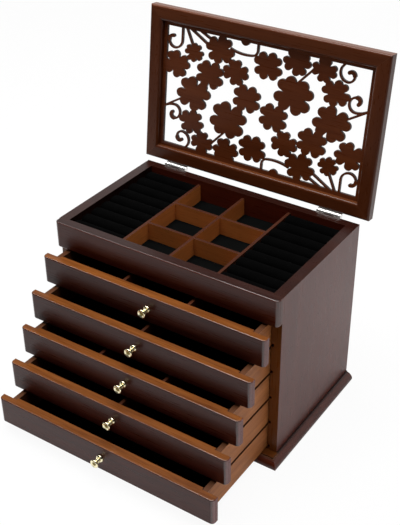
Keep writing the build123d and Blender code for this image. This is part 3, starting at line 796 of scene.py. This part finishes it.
def build_row_tree():
    """A row of one form along Y, smoothed once, with every copy a little different."""
    tree, given, out = geometry_tree(
        "ring_roll_row",
        (
            ("Count", "NodeSocketInt"),
            ("Pitch", FLOAT),
            ("Unevenness", FLOAT),
            ("Velvet", "NodeSocketMaterial"),
        ),
    )
    smooth = add_node(tree, "GeometryNodeSubdivisionSurface", None, Mesh=given["Geometry"], Level=1)
    step = add_node(tree, "ShaderNodeCombineXYZ", None, Y=given["Pitch"])
    line = add_node(tree, "GeometryNodeMeshLine", None, Count=given["Count"], Offset=step.outputs[0])
    row = add_node(
        tree, "GeometryNodeInstanceOnPoints", None, Points=line.outputs[0], Instance=smooth.outputs[0]
    )
    real = add_node(tree, "GeometryNodeRealizeInstances", None, Geometry=row.outputs[0])
    spot = add_node(tree, "GeometryNodeInputPosition").outputs[0]
    swell = add_node(tree, "ShaderNodeTexNoise", None, Vector=spot, Scale=ROLL_SWELL_SCALE, Detail=1.0)
    sink = maths(tree, "MULTIPLY", swell.outputs["Fac"], given["Unevenness"])
    drop = add_node(tree, "ShaderNodeCombineXYZ", None, Z=maths(tree, "MULTIPLY", sink, -1.0))
    moved = add_node(
        tree, "GeometryNodeSetPosition", None, Geometry=real.outputs[0], Offset=drop.outputs[0]
    )
    soft = add_node(tree, "GeometryNodeSetShadeSmooth", None, Geometry=moved.outputs[0])
    dyed = add_node(
        tree, "GeometryNodeSetMaterial", None, Geometry=soft.outputs[0], Material=given["Velvet"]
    )
    join(tree, dyed.outputs[0], out)
    return tree


def roll_stations(length):
    """Places along a roll, and the share of its section at each."""
    middle = length - 2 * ROLL_END_LENGTH
    stations = list(ROLL_ENDS)
    stations += [(ROLL_END_LENGTH + middle * k / ROLL_ALONG, FULL_SECTION) for k in range(ROLL_ALONG + 1)]
    stations += [(length - along, share) for along, share in reversed(ROLL_ENDS)]
    return stations


def roll_form(low, high):
    """One slack bolster in a box: full in the crown, flat on its foot and rounded off at its ends."""
    half = (high - low) / 2
    middle = (low + high) / 2
    shape = bmesh.new()
    rings = []
    for along, share in roll_stations(high.x - low.x):
        ring = []
        for k in range(ROLL_AROUND):
            angle = 2 * math.pi * k / ROLL_AROUND
            across, rise = math.cos(angle), math.sin(angle)
            power = CROWN_POWER if rise > 0 else FOOT_POWER
            y = middle.y + half.y * share * math.copysign(abs(across) ** power, across)
            z = middle.z + half.z * share * math.copysign(abs(rise) ** power, rise)
            ring.append(shape.verts.new((low.x + along, y, z)))
        rings.append(ring)
    for first, second in zip(rings, rings[1:]):
        for k in range(ROLL_AROUND):
            n = (k + 1) % ROLL_AROUND
            shape.faces.new((first[k], first[n], second[n], second[k]))
    shape.faces.new(rings[0])
    shape.faces.new(rings[-1])
    return loose_object("ring_roll_form", shape)


def dress_ring_rolls(name, tree):
    """A row of filled velvet rolls in place of a packed ring cushion."""
    low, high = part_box(name)
    pitch = (high.y - low.y) / ROLL_COUNT
    first_low = Vector((low.x, low.y + ROLL_GAP / 2, low.z))
    first_high = Vector((high.x, low.y + pitch - ROLL_GAP / 2, high.z))
    form = roll_form(first_low, first_high)
    fill_with_air(form, low.z + ROLL_HELD, ROLL_SWELL)
    keep_inside(form.data, first_low, first_high)
    values = {
        "Count": ROLL_COUNT,
        "Pitch": pitch,
        "Unevenness": ROLL_UNEVENNESS,
        "Velvet": finishes["roll"],
    }
    rolls = laid_out(form, tree, f"velvet_{name}", values)
    stretch_to(rolls.data, low, high + Vector((0, 0, ROLL_FULLNESS)))
    dress(rolls, name, "case")


row_tree = build_row_tree()
for name in ("ring_rolls_left", "ring_rolls_right"):
    dress_ring_rolls(name, row_tree)


# Stage: a pale paper sweep that stays white to the camera and keeps a soft shadow
SWEEP_HALF_WIDTH = 2.6
SWEEP_FRONT = -0.80
SWEEP_BACK = 1.9
SWEEP_TOP = 2.2
SWEEP_BEND = 0.5
SWEEP_BEND_STEPS = 12
SWEEP_DROP = 0.0002
PAPER = (0.86, 0.86, 0.86, 1.0)

# Shares of plain white in the paper: seen straight, and mirrored low down and high up between two heights
SEEN_WHITE = 0.94
FLOOR_WHITE = 0.35
WHITE_RISE = (0.1, 0.4)
AIR_LIGHT = 0.06


def sweep_paper():
    """Matt paper that shows as white, with only a little of its shading left."""
    made = bpy.data.materials.new("studio_paper")
    made.use_nodes = True
    tree = made.node_tree
    tree.nodes.clear()
    out = tree.nodes.new("ShaderNodeOutputMaterial")
    paper = add_node(tree, "ShaderNodeBsdfDiffuse", None, Color=PAPER)
    white = add_node(tree, "ShaderNodeEmission", None, Strength=1.0)
    path = add_node(tree, "ShaderNodeLightPath").outputs
    height = split(tree, add_node(tree, "ShaderNodeTexCoord").outputs["Object"])["Z"]
    seen = maths(tree, "MAXIMUM", path["Is Camera Ray"], path["Is Transmission Ray"])
    seen = maths(tree, "MULTIPLY", seen, SEEN_WHITE)
    mirrored = ramp(tree, height, *WHITE_RISE, FLOOR_WHITE, SEEN_WHITE)
    mirrored = maths(tree, "MULTIPLY", path["Is Glossy Ray"], mirrored)
    blend = tree.nodes.new("ShaderNodeMixShader")
    join(tree, maths(tree, "MAXIMUM", seen, mirrored), blend.inputs[0])
    join(tree, paper.outputs[0], blend.inputs[1])
    join(tree, white.outputs[0], blend.inputs[2])
    join(tree, blend.outputs[0], out.inputs[0])
    return made


def build_sweep():
    """Paper on the floor in front, bent up behind."""
    line = [(SWEEP_FRONT, 0.0)]
    for k in range(SWEEP_BEND_STEPS + 1):
        angle = math.radians(90 * k / SWEEP_BEND_STEPS)
        depth = SWEEP_BACK - SWEEP_BEND * (1 - math.sin(angle))
        line.append((depth, SWEEP_BEND * (1 - math.cos(angle))))
    line.append((SWEEP_BACK, SWEEP_TOP))
    shape = bmesh.new()
    ends = (-SWEEP_HALF_WIDTH, SWEEP_HALF_WIDTH)
    rows = [[shape.verts.new((x, y, z - SWEEP_DROP)) for x in ends] for y, z in line]
    for first, second in zip(rows, rows[1:]):
        shape.faces.new((first[0], first[1], second[1], second[0]))
    sweep = loose_object("studio_sweep", shape)
    sweep.data.materials.append(sweep_paper())


def build_air():
    """A dim studio round the sweep, white where the camera looks past it."""
    world = bpy.data.worlds.new("studio_air")
    world.use_nodes = True
    tree = world.node_tree
    air = tree.nodes["Background"]
    air.inputs["Color"].default_value = (1.0, 1.0, 1.0, 1.0)
    seen = add_node(tree, "ShaderNodeLightPath").outputs["Is Camera Ray"]
    join(tree, ramp(tree, seen, 0.0, 1.0, AIR_LIGHT, 1.0), air.inputs["Strength"])
    scene.world = world


def softbox(name, place, aim, width, depth, power):
    """A wide soft light at a place, turned to what it lights."""
    data = bpy.data.lights.new(name, "AREA")
    data.shape = "RECTANGLE"
    data.size = width
    data.size_y = depth
    data.energy = power
    lamp = bpy.data.objects.new(name, data)
    lamp.location = place
    lamp.rotation_mode = "QUATERNION"
    lamp.rotation_quaternion = (Vector(aim) - Vector(place)).to_track_quat("-Z", "Y")
    scene.collection.objects.link(lamp)


build_sweep()
build_air()
softbox("softbox_above", place=(0.0, 0.05, 1.9), aim=(0.0, 0.05, 0.2), width=1.5, depth=1.2, power=40.0)
softbox(
    "strip_above_left", place=(-0.86, 0.0, 1.75), aim=(0.0, -0.05, 0.1), width=0.3, depth=1.3, power=14.0
)


def place_camera():
    """The camera at its place, turned by its three angles."""
    data = bpy.data.cameras.new("photo_camera")
    data.lens = CAMERA_LENS
    data.sensor_width = SENSOR_WIDTH
    data.clip_start = CLIP_NEAR
    data.clip_end = CLIP_FAR
    camera = bpy.data.objects.new("photo_camera", data)
    turn, lift, roll = (math.radians(a) for a in (CAMERA_TURN, CAMERA_HEIGHT_ANGLE, CAMERA_ROLL))
    back = Vector((math.sin(turn) * math.cos(lift), -math.cos(turn) * math.cos(lift), math.sin(lift)))
    level = Vector((0, 0, 1)).cross(back).normalized()
    above = back.cross(level)
    camera_right = math.cos(roll) * level + math.sin(roll) * above
    camera_up = math.cos(roll) * above - math.sin(roll) * level
    axes = Matrix((camera_right, camera_up, back)).transposed()
    camera.matrix_world = Matrix.Translation(CAMERA_PLACE) @ axes.to_4x4()
    scene.collection.objects.link(camera)
    scene.camera = camera


place_camera()
scene.view_settings.view_transform = "Standard"
